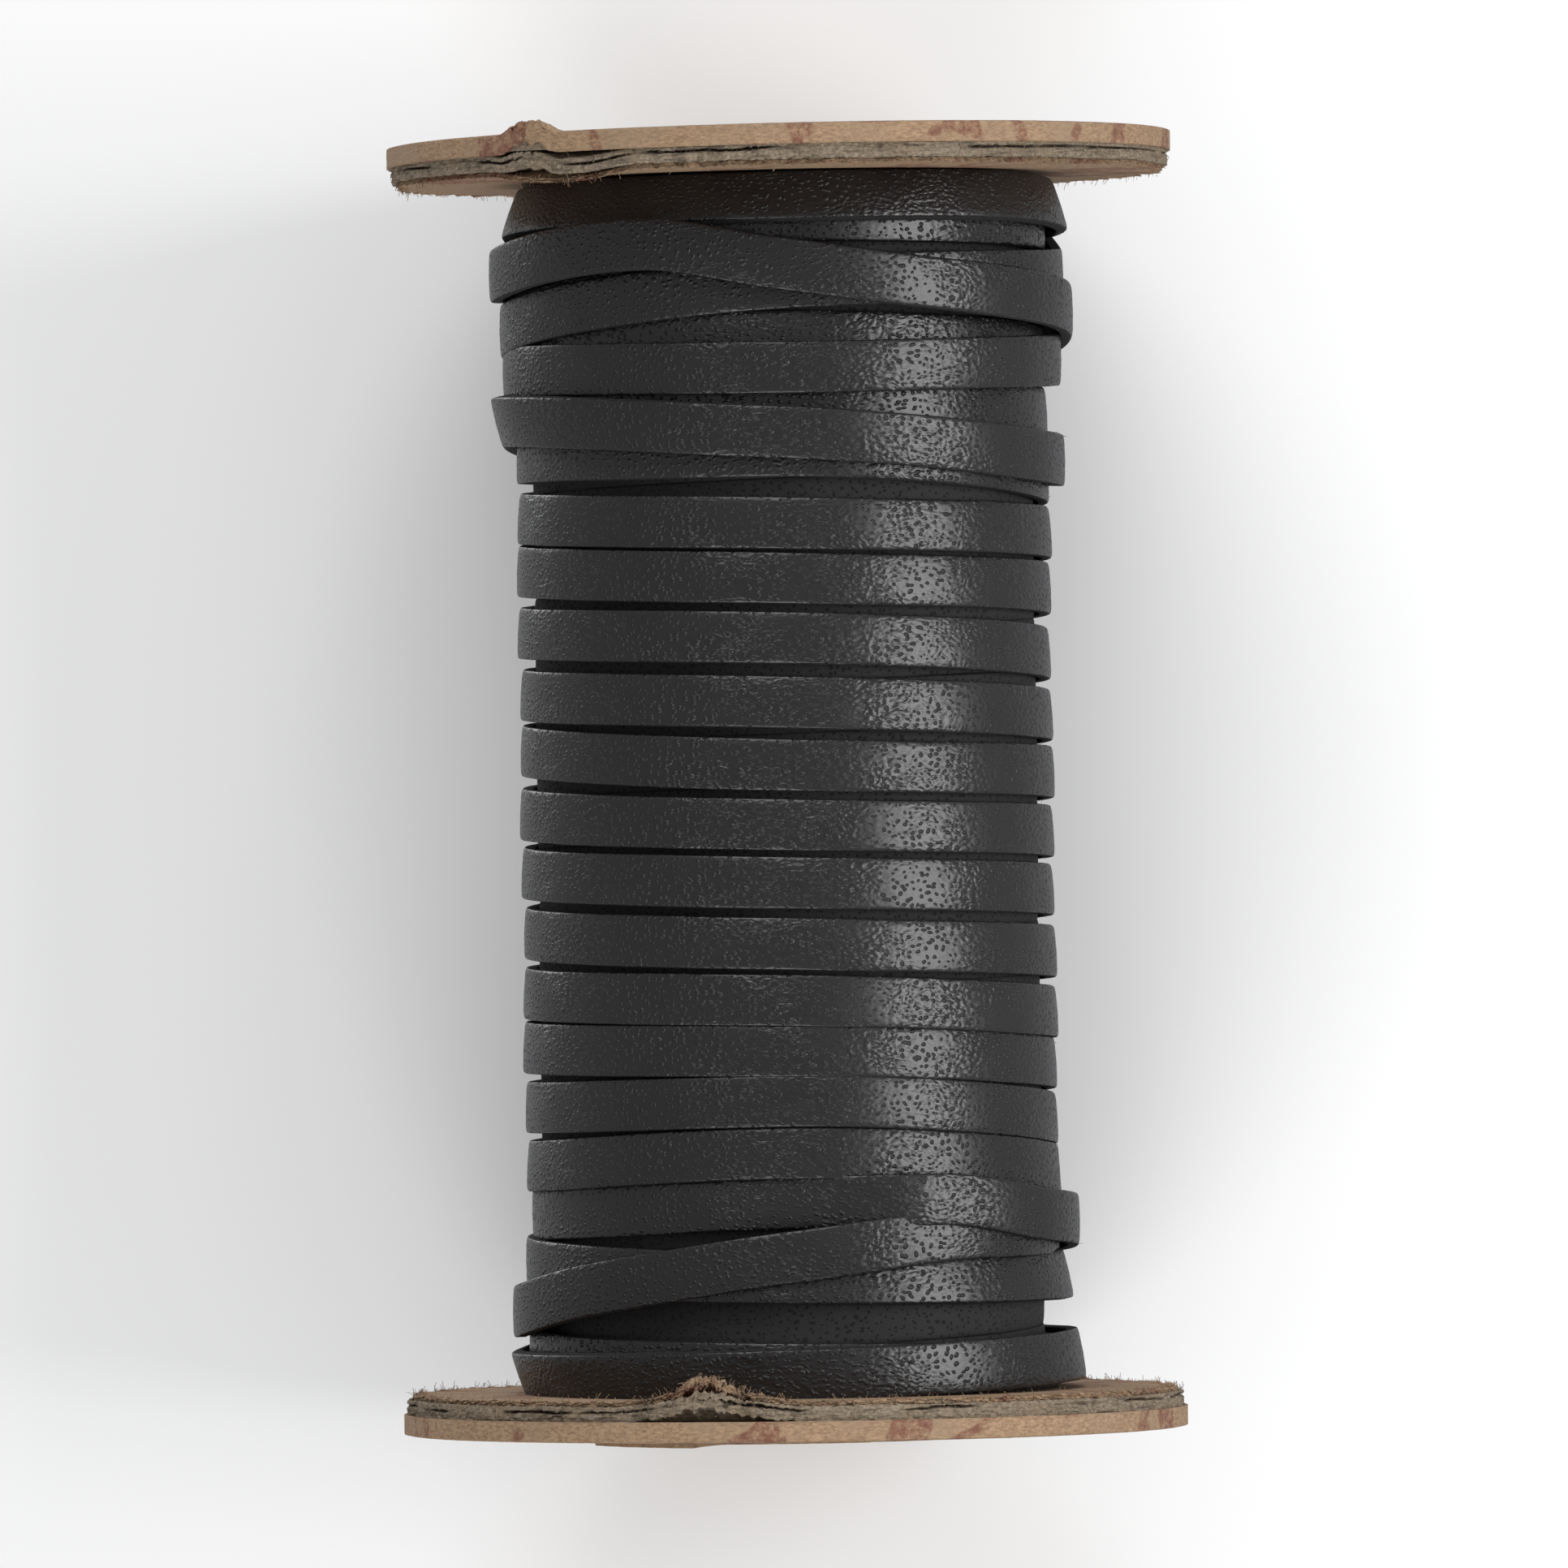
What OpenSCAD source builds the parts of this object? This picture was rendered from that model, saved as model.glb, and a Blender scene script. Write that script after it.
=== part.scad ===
// Spool of flat leather lace: two laminated chipboard flanges on a paper core tube,
// wound with one long lace that is 3.3 mm wide.
// Millimetres. The spool stands on its lower flange, its axis is Z, and the origin is
// on the axis in the plane that it stands on.

/* [Flanges] */
// Diameter of each flange
flange_d = 50.8; // [46:0.2:62]
// Thickness of the kraft paper on each face of a flange
liner_t = 0.3; // [0.2:0.05:0.4]
// Thickness of each of a flange's two chipboards
board_t = 1.0; // [0.8:0.05:1.3]
// How far the inner board stops short of the rim
inner_board_setback = 0.1; // [0:0.05:0.4]
// How far the torn inner paper stops short of the rim
inner_liner_setback = 0.35; // [0.1:0.05:0.8]
// Rounding of the rim where the outer paper is turned over it
rim_rounding = 0.6; // [0.3:0.05:0.9]
// Space left between the tube and the flanges' holes
hole_clearance = 0.1; // [0.05:0.05:0.3]

/* [Core tube] */
// Bore of the tube, for a peg or a spindle
core_bore_d = 15.9; // [13:0.1:19.2]
// Thickness of each of the tube's three paper plies
ply_t = 0.55; // [0.4:0.05:0.7]
// Distance between the flanges' inner faces
traverse = 78.4; // [65:0.1:95]
// Number of petals that the inner ply is slit into at each end
petal_count = 8; // [6:1:10]
// How far a petal reaches out over the flange
petal_len = 6.0; // [4:0.25:7.5]
// Width of the slit between two petals
petal_slit = 0.8; // [0.4:0.1:1.2]

/* [Lace] */
// Width of the lace
lace_w = 3.3; // [2.75:0.05:4]
// Thickness of the lace
lace_t = 0.95; // [0.79:0.01:1.15]
// Space between neighbouring turns of the top layer
turn_gap = 0.45; // [0.2:0.05:0.8]

/* [Start of the lace] */
// Thickness of the paper tape that holds the lace's inner end
tape_t = 0.12; // [0.08:0.02:0.3]
// Height of the tape along the tube
tape_h = 12; // [6:0.5:20]
// Angle of the tube that the tape covers
tape_angle = 70; // [30:5:120]

/* [Hidden] */

hidden_layers = 7;      // layers under the top one, as many as NODES lists
round_fn = 96;          // smoothness of everything that is turned
eps = 0.01;             // how far a cutter runs past the face that it cuts
fold_overlap = 0.05;    // how far a petal's root runs into the tube's wall
kraft = "#b98f63";
chipboard = "#8f8064";
tube_paper = "#a98f6c";
tape_paper = "#d9cfae";
leather = "#2d2d2f";

flange_r = flange_d / 2;
flange_t = 2 * liner_t + 2 * board_t;
bore_r = core_bore_d / 2;
sleeve_r = bore_r + ply_t;                  // outside of the inner ply
core_r = bore_r + 3 * ply_t;                // outside of the tube, which the lace is wound on
hole_r = sleeve_r + hole_clearance;
lower_face = ply_t + flange_t;              // the lower flange's inner face
upper_face = lower_face + traverse;
spool_h = upper_face + flange_t + ply_t;
petal_w = 2 * PI * sleeve_r / petal_count - petal_slit;

// The lace. Its place is given by an angle, a height and a lift. The angle is 0 at the
// front (-Y) and 90 at +X, and it falls as the lace is wound on. The height is in lace
// widths from a flange's inner face. The lift is in lace thicknesses above the hidden
// layers: 0 lies on them, 1 on one more turn and 2 on two, each with a hair of space.
step_angle = 15;
top_r = core_r + hidden_layers * lace_t;
on_one = 1.03;
on_two = 2.06;

// Turns at the lower end, from the flange up: [angle, widths up, lift]
lower_route = [
    [120, 0.66, on_one], [90, 0.68, on_one], [0, 0.6, on_one], [-90, 0.52, on_one],
    [-180, 1.35, on_one], [-225, 2.07, on_one], [-262, 2.08, 0], [-360, 2.25, 0],
    [-450, 2.5, 0], [-540, 2.8, 0], [-630, 3.14, 0], [-675, 3.2, on_one],
    [-720, 2.75, on_one], [-765, 2.15, on_one], [-810, 1.6, on_one], [-900, 2.45, on_one],
    [-990, 3.3, 1.4], [-1020, 3.55, on_two], [-1068, 3.92, on_two], [-1100, 3.8, on_one],
    [-1170, 3.5, on_one], [-1260, 3.86, 0]];
// The short layer that fills the space by the lower flange under those turns
lower_build_up_h = 1.56 * lace_w;

// Turns at the upper end, from the top layer's end to the tucked tail:
// [angle, widths down, lift]
upper_route = [
    [190, 0.64, 0], [150, 0.5, on_one], [120, 1.15, on_one], [90, 1.83, on_one],
    [0, 2.39, on_one], [-90, 2.95, on_one], [-180, 3.35, on_one], [-270, 3.65, on_one],
    [-360, 3.87, on_one], [-450, 3.95, on_one], [-500, 3.97, on_one], [-560, 4.9, on_one],
    [-630, 5.62, on_one], [-720, 5.14, on_one], [-810, 5.02, on_one], [-855, 5.02, on_two],
    [-910, 4.1, on_two], [-990, 2.73, on_two], [-1051, 2.25, on_two], [-1080, 1.85, on_two],
    [-1109, 1.5, on_two], [-1170, 1.88, on_two], [-1260, 1.25, on_two], [-1340, 0.64, on_two],
    [-1390, 0.55, on_one], [-1440, 0.5, on_one], [-1530, 0.6, on_one], [-1560, 1.0, on_one],
    [-1590, 1.7, on_one]];

// The top layer joins the last point of the lower route to the first of the upper one.
// Both are near the back, so it makes a whole number of turns and this part of one.
top_start = lower_route[len(lower_route) - 1];
top_z0 = lower_face + top_start[1] * lace_w;
top_z1 = upper_face - upper_route[0][1] * lace_w;
top_part_turn = (((top_start[0] - upper_route[0][0]) % 360) + 360) % 360;
top_turns = round((top_z1 - top_z0) / (lace_w + turn_gap) - top_part_turn / 360)
    + top_part_turn / 360;

// Slope at a point between two straight runs that never overshoots them
function even_slope(before, after) =
    before * after <= 0 ? 0 : 2 * before * after / (before + after);
function run_slope(route, i, k) =
    (route[i + 1][k] - route[i][k]) / (route[i + 1][0] - route[i][0]);
function point_slope(route, i, k) =
    i == 0 ? run_slope(route, 0, k)
    : i == len(route) - 1 ? run_slope(route, i - 1, k)
    : even_slope(run_slope(route, i - 1, k), run_slope(route, i, k));
// The run of a route that an angle lies in; the angles fall along the route
function run_of(route, angle, i = 0) =
    i >= len(route) - 2 || angle >= route[i + 1][0] ? i : run_of(route, angle, i + 1);
// Value k of a route at an angle, on a smooth curve through the route's points
function value_at(route, angle, k) =
    let (i = run_of(route, angle),
         d = route[i + 1][0] - route[i][0],
         t = (angle - route[i][0]) / d)
    (1 + 2 * t) * pow(1 - t, 2) * route[i][k]
    + t * pow(1 - t, 2) * d * point_slope(route, i, k)
    + t * t * (3 - 2 * t) * route[i + 1][k]
    + t * t * (t - 1) * d * point_slope(route, i + 1, k);

function on_spool(angle, r, z) = [r * sin(angle), -r * cos(angle), z];

// A strip of lace along a list of [angle, height of its middle, lift]. The inside of
// each flat lies clear of the round layer under it.
module lace_strip(places) {
    n = len(places);
    inside = 1 / cos(step_angle / 2);
    corners = [for (p = places, c = [[0, -1], [1, -1], [1, 1], [0, 1]])
        on_spool(p[0], (top_r + (p[2] + c[0]) * lace_t) * (c[0] == 0 ? inside : 1),
                 p[1] + c[1] * lace_w / 2)];
    sides = [for (i = [0:n - 2], c = [0:3]) let (d = (c + 1) % 4)
        [[4 * i + c, 4 * i + d, 4 * i + 4 + d], [4 * i + c, 4 * i + 4 + d, 4 * i + 4 + c]]];
    polyhedron(corners, concat([for (pair = sides, face = pair) face],
                               [[3, 2, 1, 0], [for (c = [0:3]) 4 * n - 4 + c]]));
}

function route_angles(first, last) =
    let (n = ceil((first - last) / step_angle))
    [for (i = [0:n]) first + (last - first) * i / n];

module routed_lace(route, face, way) {
    angles = route_angles(route[0][0], route[len(route) - 1][0]);
    lace_strip([for (a = angles)
        [a, face + way * value_at(route, a, 1) * lace_w, value_at(route, a, 2)]]);
}

module ring(r_in, r_out, z, h) {
    translate([0, 0, z])
        rotate_extrude($fn = round_fn) translate([r_in, 0]) square([r_out - r_in, h]);
}

module core_inner_ply() {
    color(tube_paper) {
        difference() {
            folded_tube();
            for (z = [-eps, spool_h - ply_t], i = [0:petal_count - 1])
                translate([0, 0, z])
                    rotate((i + 0.5) * 360 / petal_count)
                        translate([0, -petal_slit / 2, 0])
                            cube([sleeve_r + ply_t, petal_slit, ply_t + eps]);
        }
        for (z = [0, spool_h - ply_t], i = [0:petal_count - 1])
            translate([0, 0, z]) rotate(i * 360 / petal_count) petal();
    }
}

// The tube, with its mouths rounded where the petals are folded out
module folded_tube() {
    rotate_extrude($fn = round_fn) translate([bore_r, 0]) {
        translate([0, ply_t]) square([ply_t, spool_h - 2 * ply_t]);
        for (end = [0, 1])
            translate([ply_t, ply_t + end * (spool_h - 2 * ply_t)])
                intersection() {
                    circle(ply_t, $fn = round_fn);
                    translate([-ply_t, -(1 - end) * ply_t]) square(ply_t);
                }
    }
}

module petal() {
    linear_extrude(ply_t) difference() {
        union() {
            translate([0, -petal_w / 2]) square([sleeve_r + petal_len - ply_t, petal_w]);
            translate([0, -petal_w / 2 + ply_t])
                square([sleeve_r + petal_len, petal_w - 2 * ply_t]);
        }
        circle(sleeve_r - fold_overlap, $fn = round_fn);
    }
}

module core_middle_ply() {
    color(tube_paper) ring(sleeve_r, sleeve_r + ply_t, lower_face, traverse);
}

module core_outer_ply() {
    color(tube_paper) ring(sleeve_r + ply_t, core_r, lower_face, traverse);
}

// A flange's pieces are drawn with the inner face at height 0 and the outer face up
module outer_liner() {
    color(kraft) translate([0, 0, liner_t + board_t]) rotate_extrude($fn = round_fn)
        difference() {
            union() {
                square([flange_r - rim_rounding, board_t + liner_t]);
                square([flange_r, board_t + liner_t - rim_rounding]);
                translate([flange_r - rim_rounding, board_t + liner_t - rim_rounding])
                    circle(rim_rounding, $fn = round_fn);
            }
            square([hole_r, board_t + liner_t]);
            square([flange_r - liner_t, board_t]);
            translate([0, -flange_r]) square(flange_r);
        }
}

module outer_board() {
    color(chipboard) ring(hole_r, flange_r - liner_t, liner_t + board_t, board_t);
}

module inner_board() {
    color(chipboard) ring(hole_r, flange_r - inner_board_setback, liner_t, board_t);
}

module inner_liner() {
    color(kraft) ring(hole_r, flange_r - inner_liner_setback, 0, liner_t);
}

module on_lower_flange() {
    translate([0, 0, lower_face]) mirror([0, 0, 1]) children();
}

module on_upper_flange() {
    translate([0, 0, upper_face]) children();
}

// The tape lies on the tube, under the first turns of the lace
module tape_shape(t) {
    translate([0, 0, lower_face + lace_w])
        rotate_extrude(angle = tape_angle, $fn = round_fn)
            translate([core_r, 0]) square([t, tape_h]);
}

module start_tape() {
    color(tape_paper) tape_shape(tape_t);
}

// One hidden layer of the lace, closely wound from flange to flange
module lace_layer(i) {
    r = core_r + (i - 1) * lace_t;
    color(leather) difference() {
        ring(r, r + lace_t, lower_face, traverse);
        if (i == 1) tape_shape(tape_t);
    }
}

module lace_lower_build_up() {
    color(leather) ring(top_r, top_r + lace_t, lower_face, lower_build_up_h);
}

module lace_lower_end_wraps() {
    color(leather) routed_lace(lower_route, lower_face, 1);
}

module lace_top_layer() {
    first = top_start[0];
    angles = route_angles(first, first - 360 * top_turns);
    color(leather) lace_strip([for (a = angles)
        [a, top_z0 + (top_z1 - top_z0) * (first - a) / (360 * top_turns), 0]]);
}

module lace_upper_end_wraps() {
    color(leather) routed_lace(upper_route, upper_face, -1);
}

core_inner_ply();
core_middle_ply();
core_outer_ply();
on_lower_flange() outer_liner();  // lower_outer_liner
on_lower_flange() outer_board();  // lower_outer_board
on_lower_flange() inner_board();  // lower_inner_board
on_lower_flange() inner_liner();  // lower_inner_liner
on_upper_flange() outer_liner();  // upper_outer_liner
on_upper_flange() outer_board();  // upper_outer_board
on_upper_flange() inner_board();  // upper_inner_board
on_upper_flange() inner_liner();  // upper_inner_liner
start_tape();
lace_layer(1);  // lace_layer_1
lace_layer(2);  // lace_layer_2
lace_layer(3);  // lace_layer_3
lace_layer(4);  // lace_layer_4
lace_layer(5);  // lace_layer_5
lace_layer(6);  // lace_layer_6
lace_layer(7);  // lace_layer_7
lace_lower_build_up();
lace_lower_end_wraps();
lace_top_layer();
lace_upper_end_wraps();
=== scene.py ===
import math
import bpy
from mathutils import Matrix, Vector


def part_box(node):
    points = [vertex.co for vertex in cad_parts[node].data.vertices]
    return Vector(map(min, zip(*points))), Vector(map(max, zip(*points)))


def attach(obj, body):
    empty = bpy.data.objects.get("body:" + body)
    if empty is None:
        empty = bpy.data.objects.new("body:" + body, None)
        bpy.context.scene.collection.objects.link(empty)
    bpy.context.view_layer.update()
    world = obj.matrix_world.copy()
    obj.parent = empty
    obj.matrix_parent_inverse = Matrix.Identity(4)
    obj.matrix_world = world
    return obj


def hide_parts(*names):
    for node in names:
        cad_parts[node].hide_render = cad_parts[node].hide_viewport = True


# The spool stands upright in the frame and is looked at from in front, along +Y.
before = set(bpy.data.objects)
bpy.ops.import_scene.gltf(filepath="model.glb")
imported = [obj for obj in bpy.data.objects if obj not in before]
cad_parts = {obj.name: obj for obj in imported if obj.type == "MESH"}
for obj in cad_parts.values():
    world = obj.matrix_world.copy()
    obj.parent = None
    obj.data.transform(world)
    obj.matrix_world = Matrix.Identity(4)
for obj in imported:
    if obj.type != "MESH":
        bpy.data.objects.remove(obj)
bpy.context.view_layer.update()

# The camera is about a metre away on a long lens and is turned by less than a degree,
# as the spool doesn't lie quite square to it.
camera_data = bpy.data.cameras.new("camera")
camera_data.lens = 347.4
camera_data.sensor_width = 36
camera_data.clip_end = 20
camera = bpy.data.objects.new("camera", camera_data)
camera.location = (-0.0002, -0.98, 0.0424)
camera.rotation_euler = (math.radians(90), math.radians(0.82), 0)
bpy.context.scene.collection.objects.link(camera)
bpy.context.scene.camera = camera
bpy.context.scene.view_settings.view_transform = "Standard"


# The two small tools that every node tree below is written with. A Wire is a socket
# that can be added to, taken from, multiplied or divided; a Net puts nodes in a tree.
class Wire:
    def __init__(self, net, socket):
        self.net = net
        self.socket = socket

    def __add__(self, other):
        return self.net.math("ADD", self, other)

    def __radd__(self, other):
        return self.net.math("ADD", other, self)

    def __sub__(self, other):
        return self.net.math("SUBTRACT", self, other)

    def __rsub__(self, other):
        return self.net.math("SUBTRACT", other, self)

    def __mul__(self, other):
        return self.net.math("MULTIPLY", self, other)

    def __rmul__(self, other):
        return self.net.math("MULTIPLY", other, self)

    def __truediv__(self, other):
        return self.net.math("DIVIDE", self, other)


class Net:
    def __init__(self, tree):
        self.tree = tree
        tree.nodes.clear()

    def node(self, kind, settings=None, values=None, out=0):
        made = self.tree.nodes.new(kind)
        for name, value in (settings or {}).items():
            setattr(made, name, value)
        for name, value in (values or {}).items():
            if isinstance(value, Wire):
                self.tree.links.new(value.socket, made.inputs[name])
            else:
                made.inputs[name].default_value = value
        return Wire(self, made.outputs[out]) if len(made.outputs) else made

    def math(self, how, a, b=0.0):
        return self.node("ShaderNodeMath", {"operation": how}, {0: a, 1: b})

    def vector(self, how, a, b=(0, 0, 0), out=0):
        return self.node("ShaderNodeVectorMath", {"operation": how}, {0: a, 1: b}, out)

    def scaled(self, a, by):
        return self.node("ShaderNodeVectorMath", {"operation": "SCALE"}, {0: a, "Scale": by})

    def join(self, x, y, z):
        return self.node("ShaderNodeCombineXYZ", None, {0: x, 1: y, 2: z})

    def part(self, a, axis):
        return self.node("ShaderNodeSeparateXYZ", None, {0: a}, axis)

    def noise(self, at, scale, detail=3.0, rough=0.5, out=0):
        return self.node("ShaderNodeTexNoise", None,
                         {"Vector": at, "Scale": scale, "Detail": detail, "Roughness": rough}, out)

    def between(self, value, low, high, to_low=0.0, to_high=1.0):
        return self.node("ShaderNodeMapRange", {"interpolation_type": "SMOOTHSTEP"},
                         {0: value, 1: low, 2: high, 3: to_low, 4: to_high})

    def blend(self, factor, a, b):
        return self.node("ShaderNodeMix", {"data_type": "RGBA"}, {0: factor, 6: a, 7: b}, 2)

    def own(self, name, kind="FLOAT"):
        return self.node("GeometryNodeInputNamedAttribute", {"data_type": kind}, {0: name})


def new_material(name):
    material = bpy.data.materials.new(name)
    material.use_nodes = True
    return material, Net(material.node_tree)


def finish_material(net, color, rough, height, depth, **more):
    bump = net.node("ShaderNodeBump", None,
                    {"Strength": 1.0, "Distance": depth, "Height": height})
    values = {"Base Color": color, "Roughness": rough, "Normal": bump}
    values.update(more)
    skin = net.node("ShaderNodeBsdfPrincipled", None, values)
    net.node("ShaderNodeOutputMaterial", None, {"Surface": skin})


def new_form(name, inputs):
    tree = bpy.data.node_groups.new(name, "GeometryNodeTree")
    net = Net(tree)
    tree.interface.new_socket("Geometry", in_out="INPUT", socket_type="NodeSocketGeometry")
    tree.interface.new_socket("Geometry", in_out="OUTPUT", socket_type="NodeSocketGeometry")
    for label, kind in inputs.items():
        tree.interface.new_socket(label, in_out="INPUT", socket_type="NodeSocket" + kind)
    source = tree.nodes.new("NodeGroupInput")
    wires = {s.name: Wire(net, s) for s in source.outputs if s.name}
    return tree, net, wires


def end_form(net, geometry, material):
    whole = net.node("GeometryNodeRealizeInstances", None, {0: geometry})
    painted = net.node("GeometryNodeSetMaterial", None, {0: whole, "Material": material})
    net.node("NodeGroupOutput", None, {0: painted})


def made_of(name, start, tree, values):
    holder = bpy.data.objects.new(name + "_start", start)
    bpy.context.scene.collection.objects.link(holder)
    modifier = holder.modifiers.new("form", "NODES")
    modifier.node_group = tree
    for socket in tree.interface.items_tree:
        if socket.in_out == "INPUT" and socket.name in values:
            modifier[socket.identifier] = values[socket.name]
    bpy.context.view_layer.update()
    graph = bpy.context.evaluated_depsgraph_get()
    mesh = bpy.data.meshes.new_from_object(holder.evaluated_get(graph))
    mesh.name = name
    bpy.data.objects.remove(holder)
    piece = bpy.data.objects.new(name, mesh)
    bpy.context.scene.collection.objects.link(piece)
    for face in mesh.polygons:
        face.use_smooth = True
    return piece


# The lace's leather: dyed black, smooth and pebbled on the grain side with rows of
# small pores, and rough, dull suede on its cut edges and underside.
leather, net = new_material("black leather")
place = net.node("ShaderNodeAttribute", {"attribute_name": "lace_place"}, None, "Vector")
grain = net.node("ShaderNodeAttribute", {"attribute_name": "grain_side"}, None, "Fac")
bent = net.vector("ADD", place, net.scaled(net.noise(place, 0.5, 2.0, 0.5, "Color"), 1.1))
stretched = net.vector("MULTIPLY", bent, (1.8, 2.35, 1.0))
pore = net.node("ShaderNodeTexVoronoi", {"voronoi_dimensions": "2D"},
                {"Vector": stretched, "Scale": 1.0, "Randomness": 0.85}, "Distance")
pore_size = net.between(net.noise(place, 0.28, 2.0), 0.35, 0.65, 0.20, 0.34)
pit = net.math("SUBTRACT", 1.0, net.between(pore, pore_size * 0.35, pore_size))
pebble = net.node("ShaderNodeTexVoronoi", {"voronoi_dimensions": "2D", "feature": "SMOOTH_F1"},
                  {"Vector": net.vector("MULTIPLY", bent, (2.5, 4.0, 1.0)), "Scale": 1.0}, "Distance")
wrinkle = net.noise(net.vector("MULTIPLY", bent, (0.9, 4.0, 1.0)), 1.0, 3.0, 0.6)
patchy = net.between(net.noise(place, 0.16, 2.0), 0.38, 0.6)
suede = net.noise(place, 9.0, 4.0, 0.75)
height = grain * (wrinkle * 0.7 * (patchy + 0.3) - pebble * 0.7 * (patchy + 0.35) - pit) \
    + (1.0 - grain) * suede * 1.6
dye = net.blend(net.noise(place, 0.4, 4.0), (0.0075, 0.0070, 0.0078, 1), (0.0105, 0.0100, 0.0110, 1))
# The pores are painted darker here: painted shade in the pits, laid over the dye's own tone.
dye_and_pit_shade = net.blend(pit * grain * 0.8, dye, (0.004, 0.004, 0.0042, 1))
skin_color = net.blend((1.0 - grain) * net.between(suede, 0.3, 0.75, 0.15, 0.8),
                       dye_and_pit_shade, (0.010, 0.0095, 0.009, 1))
finish_material(net, skin_color,
                net.between(grain, 0.0, 1.0, 0.95, 0.34) - patchy * 0.04 + pit * 0.3,
                height, 0.00006, **{"Specular IOR Level": 0.5})

# The lace's section is 3.3 mm wide and 0.95 mm thick, a little crowned on the grain side.
# It is carried along a route: points that say how the turn runs and which way it faces.
lace_form, net, given = new_form("lace along a route", {
    "Width": "Float", "Thickness": "Float", "Waviness": "Float", "Material": "Material"})
line = net.node("GeometryNodeMeshToCurve", None, {0: given["Geometry"]})
line = net.node("GeometryNodeSetCurveNormal", {"mode": "FREE"},
                {"Curve": line, "Normal": net.own("facing", "FLOAT_VECTOR")})
length = net.node("GeometryNodeSplineParameter", None, None, "Length")
line = net.node("GeometryNodeStoreNamedAttribute", {"data_type": "FLOAT", "domain": "POINT"},
                {0: line, "Name": "along", "Value": length * 1000.0})
count = 36
section = net.node("GeometryNodeCurvePrimitiveCircle", {"mode": "RADIUS"},
                   {"Resolution": count, "Radius": 1.0})
turn = net.node("GeometryNodeInputIndex") / float(count) * (2 * math.pi)
side = net.math("COSINE", turn)
rise = net.math("SINE", turn)
wide = net.math("SIGN", side) * net.math("POWER", net.math("ABSOLUTE", side), 0.22)
tall = net.math("SIGN", rise) * net.math("POWER", net.math("ABSOLUTE", rise), 0.22)
crown = 0.45 - 0.07 * wide * wide
out_by = net.math("MAXIMUM", tall, 0.0) * crown + net.math("MINIMUM", tall, 0.0) * 0.5 + 0.05
section = net.node("GeometryNodeStoreNamedAttribute", {"data_type": "FLOAT", "domain": "POINT"},
                   {0: section, "Name": "across", "Value": wide * given["Width"] * 500.0})
section = net.node("GeometryNodeStoreNamedAttribute", {"data_type": "FLOAT", "domain": "POINT"},
                   {0: section, "Name": "grain_side", "Value": net.between(tall, 0.55, 0.85)})
section = net.node("GeometryNodeSetPosition", None, {
    0: section, "Position": net.join(out_by * given["Thickness"], wide * given["Width"] * 0.5, 0.0)})
strip = net.node("GeometryNodeCurveToMesh", None,
                 {"Curve": line, "Profile Curve": section, "Fill Caps": True})
strip = net.node("GeometryNodeStoreNamedAttribute", {"data_type": "FLOAT_VECTOR", "domain": "POINT"},
                 {0: strip, "Name": "lace_place", "Value": net.join(net.own("along"), net.own("across"), 0.0)})
sway = net.noise(net.join(net.own("along") * 0.12, net.own("across") * 0.3, 0.0), 1.0, 3.0, 0.6, "Color")
sway = net.scaled(net.vector("SUBTRACT", sway, (0.5, 0.5, 0.5)), given["Waviness"])
strip = net.node("GeometryNodeSetPosition", None, {0: strip, "Offset": sway})
end_form(net, strip, given["Material"])


def eased(points, angle):
    for i in range(len(points) - 1):
        a, b = points[i], points[i + 1]
        if angle >= b[0] or i == len(points) - 2:
            break

    def slope(j, k):
        def run(m):
            return (points[m + 1][k] - points[m][k]) / (points[m + 1][0] - points[m][0])
        if j == 0 or j == len(points) - 1:
            return run(min(j, len(points) - 2))
        before, after = run(j - 1), run(j)
        return 0 if before * after <= 0 else 2 * before * after / (before + after)

    gap = b[0] - a[0]
    t = (angle - a[0]) / gap
    return [(1 + 2 * t) * (1 - t) ** 2 * a[k] + t * (1 - t) ** 2 * gap * slope(i, k)
            + t * t * (3 - 2 * t) * b[k] + t * t * (t - 1) * gap * slope(i + 1, k)
            for k in (1, 2, 3)]


# A route turns round the axis: [angle, height in mm, radius of the underside in mm, lean].
# The angle is 0 in front and 90 at the right, and it falls as the lace is wound on.
def wound(name, points, step, waviness):
    first, last = points[0][0], points[-1][0]
    steps = round(abs(last - first) / step)
    spots, facing = [], []
    for i in range(steps + 1):
        angle = first + (last - first) * i / steps
        up, radius, lean = eased(points if last < first else [[-p[0], *p[1:]] for p in points],
                                 angle if last < first else -angle)
        a, tip = math.radians(angle), math.radians(lean)
        radius += 0.475
        spots.append((radius * math.sin(a) / 1000, -radius * math.cos(a) / 1000, up / 1000))
        facing.append((math.sin(a) * math.cos(tip), -math.cos(a) * math.cos(tip), -math.sin(tip)))
    start = bpy.data.meshes.new(name + "_route")
    start.from_pydata(spots, [(i, i + 1) for i in range(steps)], [])
    held = start.attributes.new("facing", "FLOAT_VECTOR", "POINT")
    for i, f in enumerate(facing):
        held.data[i].vector = f
    return made_of(name, start, lace_form,
                   {"Width": 0.0033, "Thickness": 0.00095, "Waviness": waviness, "Material": leather})


# The last hidden layer of the lace. Only the gaps between the top turns show it, as it
# is wound the other way; it lies on the sleeves that stand for the layers under it.
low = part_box("lace_layer_7")[0].z * 1000
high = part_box("lace_layer_7")[1].z * 1000
under = [[0, low + 1.7, 15.25, 0], [360 * 23, high - 1.7, 15.25, 0]]
under_layer = wound("lace_under_layer", under, 3.0, 0.0002)
for value in under_layer.data.attributes["grain_side"].data:
    value.value *= 0.45
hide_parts("lace_layer_7")
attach(under_layer, "root")

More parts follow.
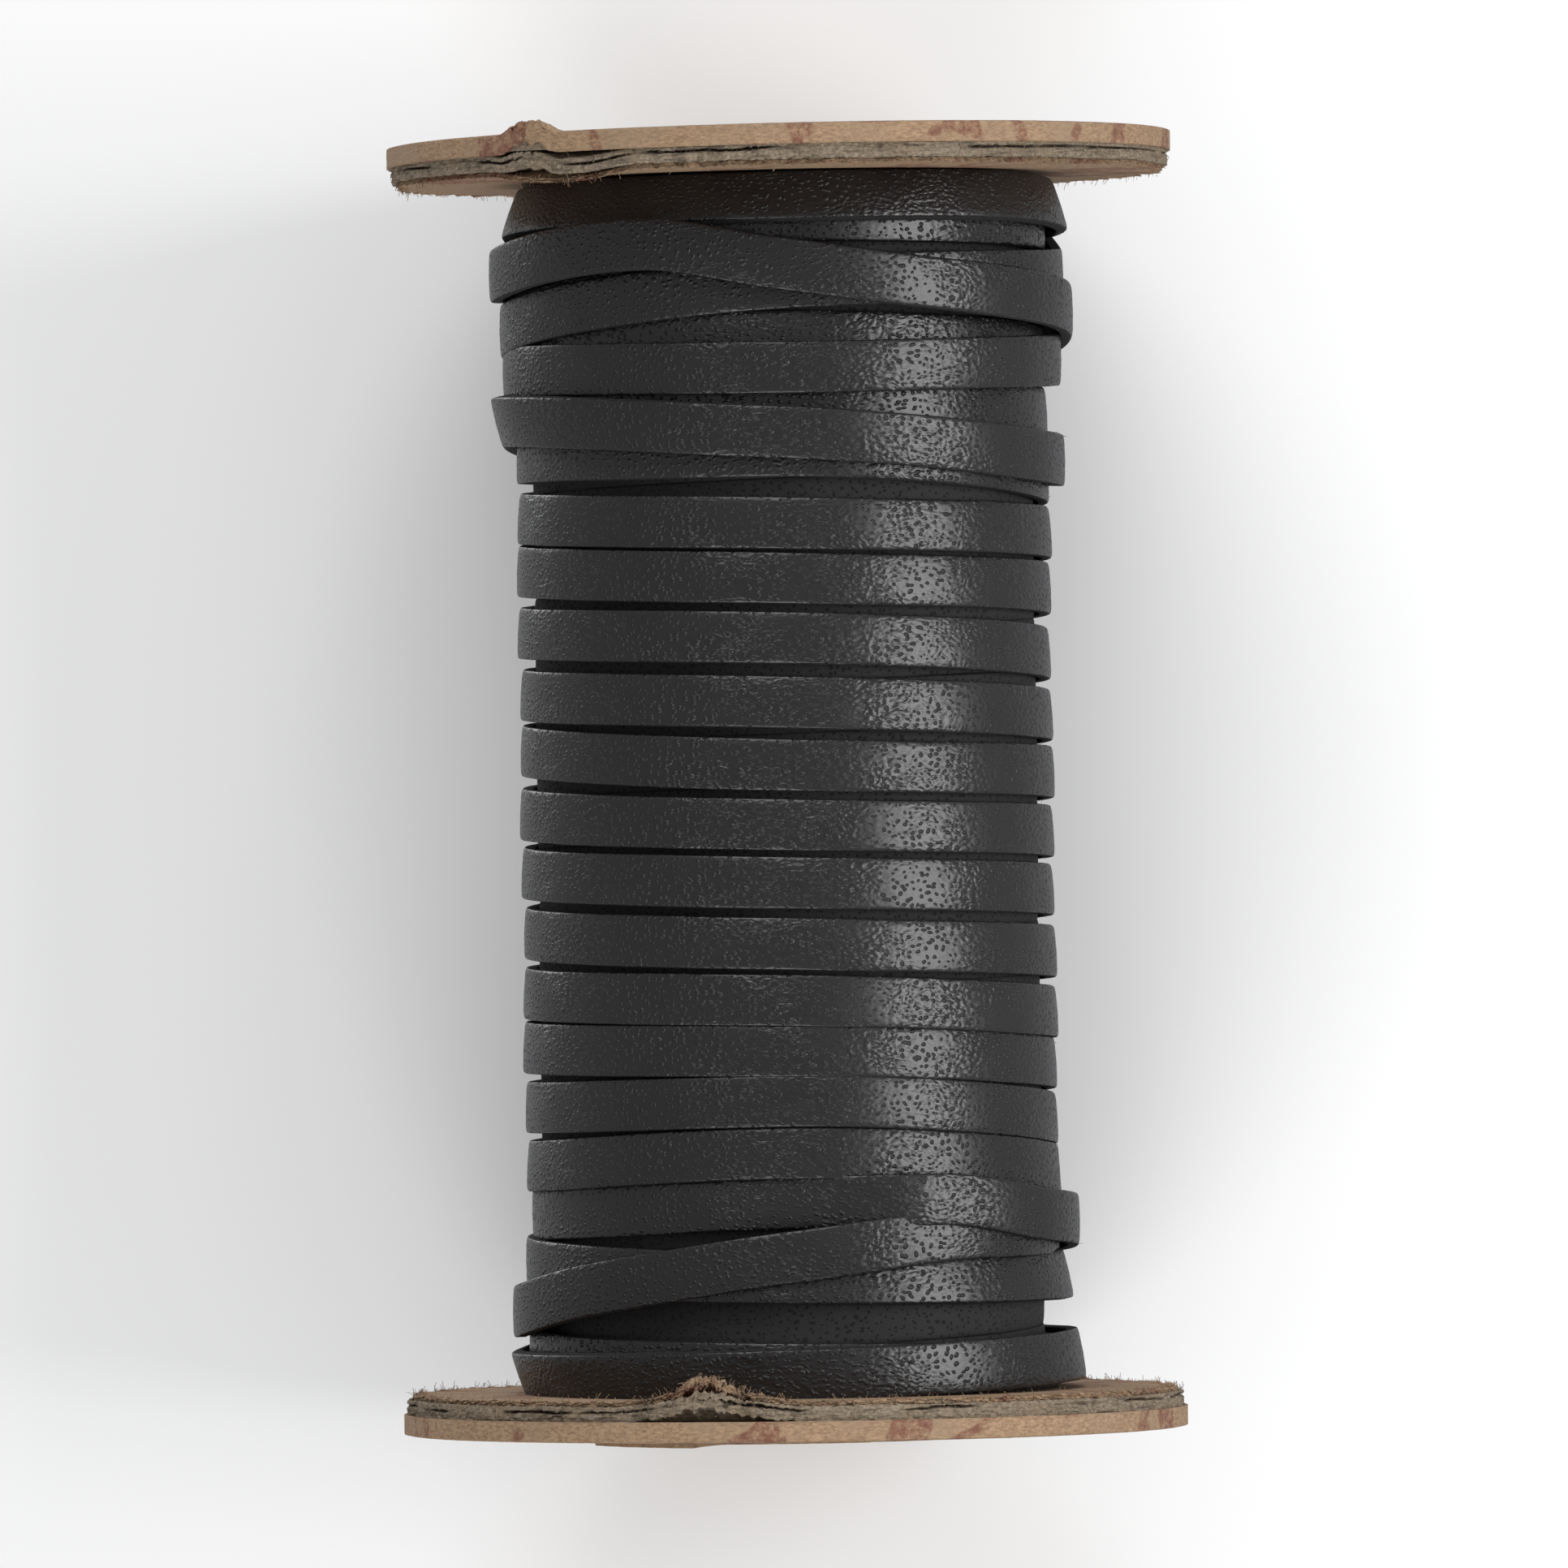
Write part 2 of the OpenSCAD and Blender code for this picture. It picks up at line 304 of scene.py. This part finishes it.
# The short build-up by the lower flange, that the lower end turns lie on: one and a half
# turns of the lace side by side, hidden but for a sliver at the flange.
foot = [[170, low + 1.66, 16.25, 0], [-270, low + 1.7, 16.25, 0], [-560, low + 3.4, 16.25, 0]]
build_up = wound("lace_build_up", foot, 2.0, 0.0001)
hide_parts("lace_lower_build_up")
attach(build_up, "root")

# The lace's lower end turns, from the flange up. They climb over the build-up, cross
# one another and tuck in under the first turn of the top layer.
lower = [[165, 5.2, 17.2, 0], [120, 5.2, 17.5, -6], [90, 5.3, 17.7, -9], [0, 4.8, 17.2, 6], [-90, 4.4, 17.0, 19],
         [-180, 7.6, 17.3, 0], [-225, 9.9, 17.25, 0], [-262, 10.4, 16.9, -12], [-360, 10.9, 16.7, -10],
         [-450, 11.7, 16.4, 0], [-540, 12.4, 16.25, 0], [-630, 13.5, 16.3, 0], [-675, 13.6, 17.25, 0],
         [-720, 12.3, 17.25, 0], [-765, 10.3, 17.3, 0], [-810, 8.5, 17.3, 0], [-900, 11.2, 17.25, 0],
         [-990, 13.9, 17.6, 0], [-1020, 14.6, 18.0, 0], [-1050, 15.8, 17.5, 0], [-1080, 15.7, 16.05, 0],
         [-1170, 14.8, 15.95, 0], [-1260, 15.8, 16.2, 0]]
lower_turns = wound("lace_lower_turns", lower, 0.9, 0.0001)
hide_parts("lace_lower_end_wraps")
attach(lower_turns, "root")

# The top layer of the lace: open turns that climb from the lower end turns to the upper
# flange. Each row gives one turn's height at the right, in front and at the left.
turns = [[17.2, 18.9, 17.9], [20.5, 22.2, 21.7], [24.1, 25.4, 25.6], [27.4, 28.6, 29.1],
         [31.3, 32.2, 33.0], [35.3, 36.1, 36.9], [39.1, 39.8, 40.7], [42.9, 43.6, 44.8],
         [46.6, 47.6, 48.4], [50.6, 51.7, 52.4], [54.8, 55.5, 56.4], [58.4, 59.0, 59.8],
         [62.0, 63.6, 63.7], [66.1, 67.0, 67.4], [70.0, 70.9, 71.3], [74.0, 74.6, 75.1],
         [78.3, 78.6, 79.0]]
top = [[180, 15.9, 16.25, 0]]
for k, heights in enumerate(turns):
    snug = 0.2 * math.sin(k * 2.1)
    for angle, up in zip((90, 0, -90), heights):
        top.append([angle - 360 * k, up, 16.3 + 0.08 * math.sin(k * 1.7 + angle), 2.5 * snug - 3])
top.append([-170 - 360 * (len(turns) - 1), 79.4, 16.3, 0])
top_turns = wound("lace_top_turns", top, 1.8, 0.00012)
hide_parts("lace_top_layer")
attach(top_turns, "root")

# The lace's upper end turns. They come back down over the top layer, cross, and climb
# to the flange again, where the tail is tucked in at the back.
upper = [[190, 79.4, 16.3, 0], [150, 79.8, 17.25, 0], [120, 77.8, 17.25, 0], [90, 75.2, 17.4, 0],
         [0, 74.3, 16.6, 0], [-90, 71.9, 17.25, 0], [-180, 70.5, 17.2, 0], [-270, 69.6, 17.2, 0],
         [-360, 68.9, 17.1, 0], [-450, 69.2, 17.1, 0], [-500, 68.4, 17.25, 0], [-560, 65.4, 17.25, 0],
         [-630, 63.1, 17.35, 0], [-720, 64.8, 17.3, 4], [-810, 66.1, 17.6, 14], [-855, 65.2, 18.2, 0],
         [-910, 68.0, 18.2, 0], [-990, 72.7, 18.0, 0], [-1051, 74.3, 18.0, 0], [-1080, 75.5, 17.9, 0],
         [-1109, 76.9, 18.0, 0], [-1170, 75.5, 17.9, 0], [-1260, 77.4, 18.2, 0], [-1340, 79.4, 17.4, -16],
         [-1390, 79.9, 17.1, -20], [-1440, 79.75, 16.9, -23], [-1530, 79.4, 16.6, -20],
         [-1560, 78.2, 17.25, 0], [-1590, 76.0, 17.25, 0]]
upper_turns = wound("lace_upper_turns", upper, 0.9, 0.0001)
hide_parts("lace_upper_end_wraps")
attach(upper_turns, "root")

# The kraft paper on the flanges and the tube: tan, with long fibres, soft stains and
# generic red-brown strokes left from the printed sheet that it was cut out of.
kraft_paper, net = new_material("printed kraft paper")
spot = net.node("ShaderNodeTexCoord", None, None, "Object")
mm = net.scaled(spot, 1000.0)
flecks = net.noise(net.vector("MULTIPLY", mm, (2.5, 2.5, 6.0)), 1.0, 5.0, 0.7)
stains = net.noise(mm, 0.22, 4.0, 0.6)
tan = net.blend(net.between(flecks, 0.3, 0.72), (0.21, 0.128, 0.074, 1), (0.42, 0.28, 0.165, 1))
tan = net.blend(net.between(stains, 0.42, 0.7, 0.0, 0.6), tan, (0.30, 0.21, 0.135, 1))
drift = net.noise(net.vector("ADD", mm, (31.0, 7.0, 3.0)), 0.075, 1.0, 0.4)
strokes = net.math("SUBTRACT", 1.0, net.between(net.math("ABSOLUTE", drift - 0.5), 0.012, 0.022))
patches = net.between(net.noise(net.vector("ADD", mm, (4.0, 15.0, 9.0)), 0.16, 2.0, 0.5), 0.585, 0.61)
worn = net.between(net.noise(mm, 1.6, 5.0, 0.8), 0.36, 0.6)
print_mask = net.math("MAXIMUM", strokes, patches) * worn
brown = net.blend(flecks, (0.10, 0.028, 0.018, 1), (0.23, 0.085, 0.055, 1))
finish_material(net, net.blend(print_mask * 0.85, tan, brown), 0.88,
                flecks + net.noise(mm, 7.0, 4.0, 0.7) * 0.6, 0.00009)

# The chipboard between the papers: grey-brown pulp in thin plies, rough where the die tore through it,
# with painted shade in the splits between the plies.
chipboard, net = new_material("torn chipboard")
spot = net.node("ShaderNodeTexCoord", None, None, "Object")
mm = net.scaled(spot, 1000.0)
layers = net.noise(net.vector("MULTIPLY", mm, (0.55, 0.55, 6.0)), 1.0, 4.0, 0.65)
pulp = net.noise(mm, 4.0, 6.0, 0.8)
grey = net.blend(net.between(pulp, 0.28, 0.72), (0.15, 0.115, 0.078, 1), (0.50, 0.40, 0.29, 1))
grey = net.blend(net.between(layers, 0.5, 0.66, 0.0, 0.62), grey, (0.075, 0.058, 0.042, 1))
grey = net.blend(net.between(net.noise(mm, 0.5, 3.0), 0.5, 0.7, 0.0, 0.5), grey, (0.34, 0.25, 0.155, 1))
# Painted shade: the splits between the plies are painted nearly black.
split_shade = net.node("ShaderNodeAttribute", {"attribute_name": "split_groove_and_shade"}, None, "Fac")
grey = net.blend(split_shade, grey, (0.018, 0.013, 0.009, 1))
finish_material(net, grey, 0.95, pulp * 1.4 + layers * 1.4, 0.00016)

# Tube, tape and the hidden parts of the flanges keep their frame shapes and take
# these papers as they are.
tape_paper, net = new_material("gummed tape")
spot = net.node("ShaderNodeTexCoord", None, None, "Object")
crease = net.noise(net.scaled(spot, 1000.0), 0.9, 4.0, 0.6)
finish_material(net, net.blend(crease, (0.50, 0.43, 0.28, 1), (0.70, 0.63, 0.47, 1)), 0.7, crease, 0.00004)
for name, plain in (("core_middle_ply", kraft_paper),
                    ("core_outer_ply", kraft_paper), ("start_tape", tape_paper),
                    ("lower_outer_board", chipboard), ("upper_outer_board", chipboard),
                    ("lace_layer_1", leather), ("lace_layer_2", leather), ("lace_layer_3", leather),
                    ("lace_layer_4", leather), ("lace_layer_5", leather), ("lace_layer_6", leather)):
    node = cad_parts[name]
    node.data.materials.clear()
    node.data.materials.append(plain)

# One sheet of a flange: a flat ring whose rim the die left ragged. Its section runs up
# the rim, in along one face, down the hole and out along the other face.
sheet_form, net, given = new_form("ring of paper", {
    "Hole": "Float", "Rim": "Float", "Low": "Float", "High": "Float", "Fold": "Float",
    "Rounding": "Float", "Ragged": "Float", "Splits": "Float", "Warp": "Float", "Tear at": "Float",
    "Tear": "Float", "Tuft at": "Float", "Tuft": "Float", "Seed": "Float", "Material": "Material"})
around_count = 1000
ring = net.node("GeometryNodeCurvePrimitiveCircle", {"mode": "RADIUS"},
                {"Resolution": around_count, "Radius": 0.02})
angle = net.node("GeometryNodeInputIndex") / float(around_count) * (2 * math.pi)
ring = net.node("GeometryNodeStoreNamedAttribute", {"data_type": "FLOAT", "domain": "POINT"},
                {0: ring, "Name": "angle", "Value": angle})
section_count = 64
section = net.node("GeometryNodeCurvePrimitiveCircle", {"mode": "RADIUS"},
                   {"Resolution": section_count, "Radius": 0.0005})
walk = net.node("GeometryNodeInputIndex") * (4.0 / section_count)


def step_of(begin):
    return net.node("ShaderNodeClamp", None, {"Value": walk - begin, "Min": 0.0, "Max": 1.0})


inward = step_of(1.0) - step_of(3.0)
upward = 2.0 * step_of(0.0) - 2.0 * step_of(2.0) - 1.0
section = net.node("GeometryNodeStoreNamedAttribute", {"data_type": "FLOAT", "domain": "POINT"},
                   {0: section, "Name": "inward", "Value": inward * inward})
section = net.node("GeometryNodeStoreNamedAttribute", {"data_type": "FLOAT", "domain": "POINT"},
                   {0: section, "Name": "upward", "Value": upward})
sheet = net.node("GeometryNodeCurveToMesh", None, {"Curve": ring, "Profile Curve": section})
turn, inward, upward = net.own("angle"), net.own("inward"), net.own("upward")
out_x, out_y = net.math("SINE", turn), net.math("COSINE", turn) * -1.0
from_rim = inward * (given["Rim"] - given["Hole"])
near_rim = 1.0 - net.between(from_rim, 0.0, 0.0018)
seeded = net.join(out_x * 25.4, out_y * 25.4, given["Seed"])
coarse = net.noise(seeded, 0.35, 3.0, 0.6)
fine = net.noise(net.join(out_x * 25.4, out_y * 25.4, given["Seed"] + upward * 0.7), 2.6, 5.0, 0.75)
split_line = 0.35 + (net.noise(seeded, 0.12, 2.0) - 0.5) * 1.6
split_open = net.between(net.noise(net.vector("ADD", seeded, (5, 5, 5)), 0.16, 3.0), 0.44, 0.56)
split_groove_and_shade = 1.0 - net.between(net.math("ABSOLUTE", upward - split_line), 0.08, 0.2)
split_groove_and_shade = split_groove_and_shade * split_open * given["Splits"] * near_rim
rim = given["Rim"] - near_rim * given["Ragged"] * (net.between(coarse, 0.45, 0.75) + fine * 1.3 - 0.35)
rim = rim - split_groove_and_shade * 0.0005
over = net.math("MAXIMUM", upward * net.math("SIGN", given["Fold"]) - 0.2, 0.0)
rim = rim - near_rim * given["Rounding"] * over * over
radius = rim - from_rim
tear = 1.0 - net.between(net.math("ABSOLUTE", turn - given["Tear at"]), 0.05, 0.26)
mid = (given["Low"] + given["High"]) * 0.5
half = (given["High"] - given["Low"]) * 0.5
flat = mid + upward * half
folded = net.between(from_rim, 0.0003, 0.0005, 1.0, 0.0) * net.math(
    "MAXIMUM", upward * net.math("SIGN", given["Fold"]) * -1.0, 0.0)
level = flat - folded * given["Fold"]
level = level + near_rim * (fine - 0.5) * given["Ragged"] * 0.8
warp = net.math("SINE", turn + given["Seed"]) * given["Warp"] * (radius / 0.0254) * (radius / 0.0254)
level = level + warp + tear * given["Tear"] * near_rim * (0.4 + fine)
tuft = 1.0 - net.between(net.math("ABSOLUTE", turn - given["Tuft at"]), 0.02, 0.1)
level = level + tuft * given["Tuft"] * near_rim * net.between(fine, 0.3, 0.6, 0.4, 1.4)
# The split mask cuts the grooves into the rim and is also kept for the chipboard's painted shade in them.
sheet = net.node("GeometryNodeStoreNamedAttribute", {"data_type": "FLOAT", "domain": "POINT"},
                 {0: sheet, "Name": "split_groove_and_shade", "Value": split_groove_and_shade})
sheet = net.node("GeometryNodeStoreNamedAttribute", {"data_type": "FLOAT", "domain": "POINT"},
                 {0: sheet, "Name": "fray", "Value": net.between(from_rim, 0.0, 0.0004, 1.0, 0.0)})
sheet = net.node("GeometryNodeSetPosition", None,
                 {0: sheet, "Position": net.join(out_x * radius, out_y * radius, level)})
end_form(net, sheet, given["Material"])

# Loose fibres: short curved hairs that stand out of a torn or cut edge at all angles.
fibre_form, net, given = new_form("fibres on an edge", {
    "Density": "Float", "Length": "Float", "Thickness": "Float", "Seed": "Int", "Material": "Material"})
edge = net.between(net.own("fray"), 0.4, 0.6)
spread = net.tree.nodes.new("GeometryNodeDistributePointsOnFaces")
net.tree.links.new(given["Geometry"].socket, spread.inputs["Mesh"])
net.tree.links.new((edge * given["Density"]).socket, spread.inputs["Density"])
net.tree.links.new(given["Seed"].socket, spread.inputs["Seed"])
hair = net.node("GeometryNodeCurvePrimitiveBezierSegment", {"mode": "OFFSET"}, {
    "Resolution": 4, "Start": (0, 0, -0.08), "Start Handle": (0.0, 0.0, 0.4),
    "End": (0.42, 0.1, 0.85), "End Handle": (-0.25, -0.1, -0.1)})
shaft = net.node("GeometryNodeCurvePrimitiveCircle", {"mode": "RADIUS"}, {
    "Resolution": 3, "Radius": given["Thickness"]})
hair = net.node("GeometryNodeCurveToMesh", None,
                {"Curve": hair, "Profile Curve": shaft, "Fill Caps": True})
lean = net.node("FunctionNodeRandomValue", {"data_type": "FLOAT_VECTOR"}, {
    0: (-0.9, -0.9, -3.14), 1: (0.9, 0.9, 3.14), "Seed": 3})
way = net.node("FunctionNodeRotateRotation", {"rotation_space": "LOCAL"}, {
    0: Wire(net, spread.outputs["Rotation"]), 1: lean})
size = net.node("FunctionNodeRandomValue", {"data_type": "FLOAT"}, {2: 0.3, 3: 1.0, "Seed": 5}, 1)
size = size * size * given["Length"]
hairs = net.node("GeometryNodeInstanceOnPoints", None, {
    "Points": Wire(net, spread.outputs["Points"]), "Instance": hair, "Rotation": way, "Scale": size})
end_form(net, hairs, given["Material"])


def fibres(name, surface_mesh, values):
    made = made_of(name, surface_mesh, fibre_form, values)
    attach(made, "root")
    return made


# Each flange from the outside in: kraft paper turned down over the rim, a hidden board,
# a board whose torn rim shows, and the inner paper, torn back and sagging in one place.
for end, out in (("lower", -1), ("upper", 1)):
    warp = 0.00028
    seed = 4.0 + out * 2.3
    hole = 0.0086
    for part, paper, more in (
            ("outer_liner", kraft_paper, {"Fold": 0.00105 * out, "Rounding": 0.0009, "Ragged": 0.00006,
                                          "Splits": 0.0, "Tear": 0.0, "Tuft": 0.0006 if out > 0 else 0.0,
                                          "slot": "kraft_paper"}),
            ("inner_board", chipboard, {"Fold": 0.0, "Rounding": 0.0, "Ragged": 0.0005,
                                        "Splits": 1.0, "Tear": -0.0005 * out, "Tuft": 0.0004, "slot": "chipboard"}),
            ("inner_liner", kraft_paper, {"Fold": 0.0, "Rounding": 0.0, "Ragged": 0.0009,
                                          "Splits": 0.0, "Tear": -0.0007 * out,
                                        "Tuft": 0.0 if out > 0 else 0.0007, "slot": "kraft_paper"})):
        node = end + "_" + part
        lowest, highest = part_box(node)
        values = {key: value for key, value in more.items() if key != "slot"}
        values.update({"Hole": hole, "Rim": highest.x, "Low": lowest.z, "High": highest.z, "Warp": warp,
                       "Tear at": 2 * math.pi - 0.6 if out > 0 else 2 * math.pi - 0.22,
                       "Tuft at": 5.6 if out > 0 else 6.05, "Seed": seed, "Material": paper})
        if part == "outer_liner":
            values["High" if out < 0 else "Low"] -= 0.001 * out * -1
        empty = bpy.data.meshes.new(node + "_start")
        piece = made_of(end + "_flange_" + part, empty, sheet_form, values)
        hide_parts(node)
        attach(piece, "root")
        if part == "inner_board":
            fibres(end + "_rim_fibres", piece.data.copy(), {
                "Density": 16e6, "Length": 0.0008, "Thickness": 0.03, "Seed": 8 + out,
                "Material": chipboard})
        if part == "inner_liner":
            fibres(end + "_paper_fibres", piece.data.copy(), {
                "Density": 20e6, "Length": 0.0007, "Thickness": 0.03, "Seed": 11 + out,
                "Material": kraft_paper})

# The tube's inner ply: a plain sleeve whose ends are slit into eight petals, folded out
# over the flanges and pressed flat, thinner at their tips. Two lower ones have lifted.
petal_form, net, given = new_form("folded petals", {
    "Face": "Float", "Outside": "Float", "Lifted": "Float", "Material": "Material"})
ring = net.node("GeometryNodeCurvePrimitiveCircle", {"mode": "RADIUS"}, {"Resolution": 1200, "Radius": 0.02})
ring = net.node("GeometryNodeStoreNamedAttribute", {"data_type": "FLOAT", "domain": "POINT"},
                {0: ring, "Name": "angle", "Value": net.node("GeometryNodeInputIndex") / 1200.0 * (2 * math.pi)})
section = net.node("GeometryNodeCurvePrimitiveCircle", {"mode": "RADIUS"}, {"Resolution": 48, "Radius": 0.0005})
walk = net.node("GeometryNodeInputIndex") * (4.0 / 48)
inward = step_of(1.0) - step_of(3.0)
upward = 2.0 * step_of(0.0) - 2.0 * step_of(2.0) - 1.0
section = net.node("GeometryNodeStoreNamedAttribute", {"data_type": "FLOAT", "domain": "POINT"},
                   {0: section, "Name": "inward", "Value": inward})
section = net.node("GeometryNodeStoreNamedAttribute", {"data_type": "FLOAT", "domain": "POINT"},
                   {0: section, "Name": "upward", "Value": upward})
petals = net.node("GeometryNodeCurveToMesh", None, {"Curve": ring, "Profile Curve": section})
turn, reach, upward = net.own("angle"), 1.0 - net.own("inward"), net.own("upward")
share = net.math("FRACT", turn * (8 / (2 * math.pi)) + 0.5)
petal = 1.0 - net.between(net.math("ABSOLUTE", share - 0.5), 0.425, 0.45)
uneven = net.noise(net.join(net.math("SINE", turn) * 8.0, net.math("COSINE", turn) * 8.0, 2.0), 1.0, 4.0, 0.7)
radius = 0.00795 + reach * (0.0006 + petal * (0.0054 + uneven * 0.001))
lifted = 2.0 - net.between(net.math("ABSOLUTE", turn - 5.5), 0.3, 0.4) \
    - net.between(net.math("ABSOLUTE", turn - 1.57), 0.3, 0.4)
toward = net.math("SIGN", given["Outside"] - given["Face"])
outer = net.math("MAXIMUM", upward * toward, 0.0)
level = given["Face"] + (given["Outside"] - given["Face"]) * outer * (1.0 - reach * 0.5)
level = level + reach * reach * toward * lifted * given["Lifted"]
petals = net.node("GeometryNodeSetPosition", None, {0: petals, "Position": net.join(
    net.math("SINE", turn) * radius, net.math("COSINE", turn) * radius * -1.0, level)})
end_form(net, petals, given["Material"])
lowest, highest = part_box("core_inner_ply")
ply = 0.00055
sleeve = made_of("tube_inner_ply", bpy.data.meshes.new("sleeve_start"), sheet_form, {
    "Hole": 0.00795, "Rim": 0.0085, "Low": lowest.z + 0.0003, "High": highest.z - 0.0003,
    "Ragged": 0.0, "Splits": 0.0, "Seed": 1.0, "Material": kraft_paper})
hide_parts("core_inner_ply")
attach(sleeve, "root")
for name, face, outside, lift in (("lower_petals", lowest.z + ply, lowest.z, 0.00026),
                                  ("upper_petals", highest.z - ply, highest.z, 0.0)):
    petals = made_of(name, bpy.data.meshes.new(name + "_start"), petal_form, {
        "Face": face, "Outside": outside, "Lifted": lift, "Material": kraft_paper})
    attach(petals, "root")

# Suede fuzz on the lace's cut edges.
for at, strip in enumerate((top_turns, lower_turns, upper_turns)):
    bare = strip.data.copy()
    held = bare.attributes.new("fray", "FLOAT", "POINT")
    grain_values = [d.value for d in bare.attributes["grain_side"].data]
    held.data.foreach_set("value", [1.0 - g for g in grain_values])
    fibres(strip.name + "_fuzz", bare, {
        "Density": 1.2e6, "Length": 0.0007, "Thickness": 0.028, "Seed": 20 + at, "Material": leather})

# The pale surface that the spool lies on, upright behind it, is seen only by the camera
# and only from in front.
surface_material, net = new_material("pale surface")
behind = net.node("ShaderNodeNewGeometry", None, None, "Backfacing")
seen = net.node("ShaderNodeLightPath", None, None, "Is Camera Ray")
paper = net.node("ShaderNodeBsdfDiffuse", None, {"Color": (0.81, 0.81, 0.81, 1)})
clear = net.node("ShaderNodeBsdfTransparent", None, {"Color": (1, 1, 1, 1)})
shown = net.math("MULTIPLY", seen, 1.0 - behind)
skin = net.node("ShaderNodeMixShader", None, {0: shown, 1: clear, 2: paper})
net.node("ShaderNodeOutputMaterial", None, {"Surface": skin})
surface_mesh = bpy.data.meshes.new("surface")
surface_mesh.from_pydata([(-0.6, 0.0257, -0.6), (0.6, 0.0257, -0.6), (0.6, 0.0257, 0.7), (-0.6, 0.0257, 0.7)],
                         [], [(0, 1, 2, 3)])
surface_mesh.materials.append(surface_material)
surface = bpy.data.objects.new("surface", surface_mesh)
bpy.context.scene.collection.objects.link(surface)

# White surroundings for the camera, and plain soft fill light for everything else.
world = bpy.data.worlds.new("studio")
bpy.context.scene.world = world
world.use_nodes = True
net = Net(world.node_tree)
seen = net.node("ShaderNodeLightPath", None, None, "Is Camera Ray")
fill = net.node("ShaderNodeBackground", None, {"Color": (0.97, 0.98, 1.0, 1), "Strength": 0.43})
white = net.node("ShaderNodeBackground", None, {"Color": (1, 1, 1, 1), "Strength": 1.0})
both = net.node("ShaderNodeMixShader", None, {0: seen, 1: fill, 2: white})
net.node("ShaderNodeOutputWorld", None, {"Surface": both})


# The key light is a large softbox to the right. Two more, over and under the picture,
# fill in its shadow, and a weak one from behind keeps the far side readable.
def softbox(name, at, size, watts):
    data = bpy.data.lights.new(name, "AREA")
    data.shape = "SQUARE"
    data.size = size
    data.energy = watts
    lamp = bpy.data.objects.new(name, data)
    lamp.location = at
    aim = Vector((0, 0, 0.042)) - lamp.location
    lamp.rotation_mode = "QUATERNION"
    lamp.rotation_quaternion = aim.to_track_quat("-Z", "Y")
    bpy.context.scene.collection.objects.link(lamp)


softbox("key", (0.66, -0.40, 0.07), 0.44, 4.6)
softbox("upper fill", (-0.1, -0.5, 0.8), 0.6, 4.9)
softbox("lower fill", (-0.15, -0.5, -0.75), 0.6, 4.9)
softbox("rear", (-0.5, 0.7, 0.5), 0.5, 2.0)
